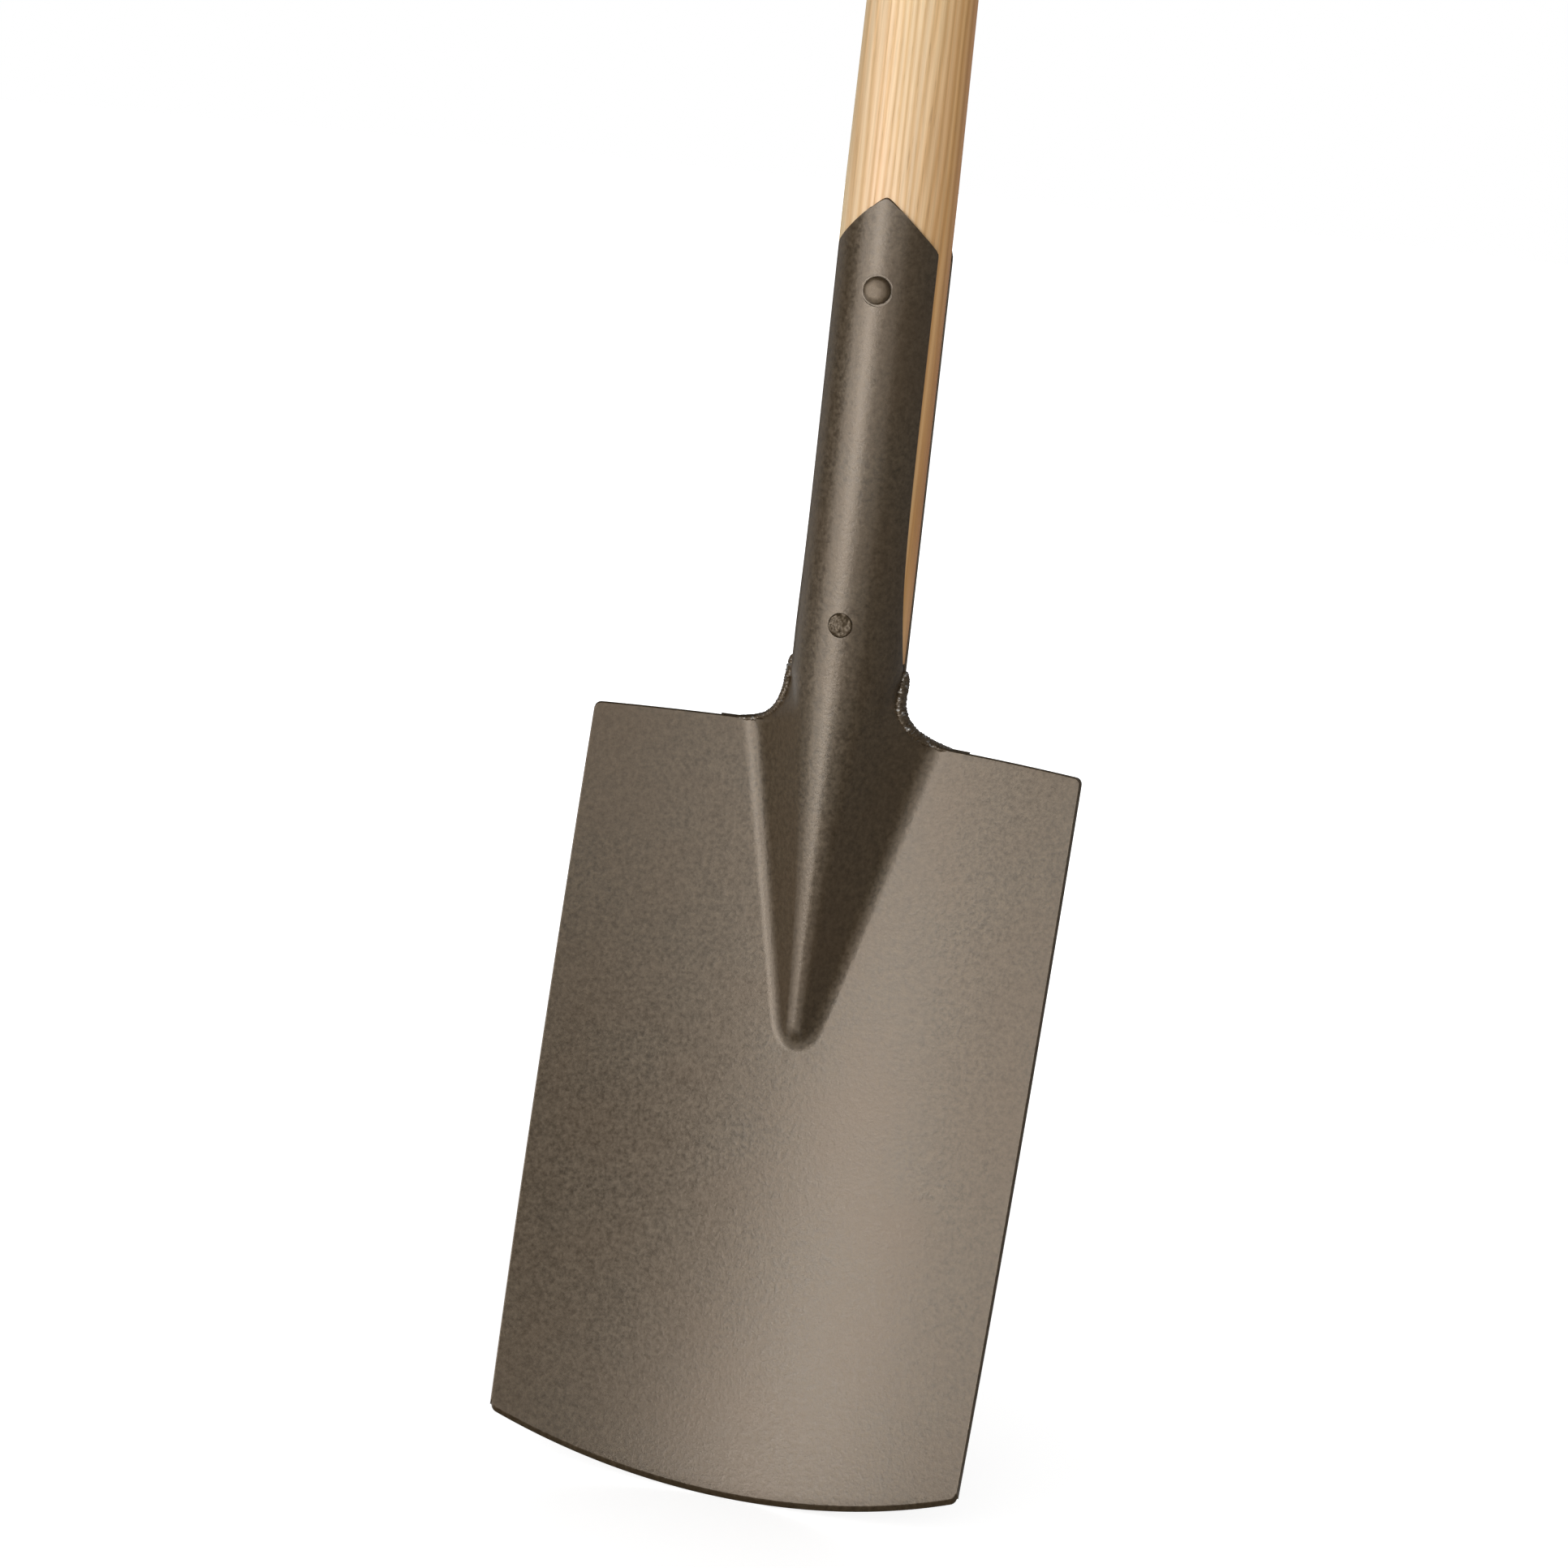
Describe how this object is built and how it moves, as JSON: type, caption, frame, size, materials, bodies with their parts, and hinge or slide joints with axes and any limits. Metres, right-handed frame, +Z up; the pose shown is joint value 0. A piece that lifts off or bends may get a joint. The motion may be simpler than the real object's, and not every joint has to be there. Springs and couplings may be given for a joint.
{
  "type": "builders spade",
  "caption": "Digging spade with a dished, ridged blade, front and rear straps riveted round an ash shaft, and a T grip.",
  "frame": {"origin": "on the shaft's axis at the underside of the grip bar, where the spade hangs", "axes": "+Z up along the shaft, -Y is the front, the hollow side of the blade, +X to the right seen from the front"},
  "size_m": [0.1856, 0.0893, 1.1121],
  "materials": {
    "blade_metal": "satin",
    "strap_metal": "satin",
    "shaft_wood": "matte",
    "rivet_metal": "satin",
    "weld_metal": "satin",
    "grip_wood": "matte",
    "wedge_wood": "matte",
    "pin_metal": "satin"
  },
  "bodies": {
    "root": {"blade": "blade_metal", "rear_strap": "strap_metal", "shaft": "shaft_wood", "upper_rivet": "rivet_metal", "lower_rivet": "rivet_metal", "left_weld": "weld_metal", "right_weld": "weld_metal", "grip_bar": "grip_wood", "grip_wedge": "wedge_wood", "grip_pin": "pin_metal"}
  },
  "joints": []
}
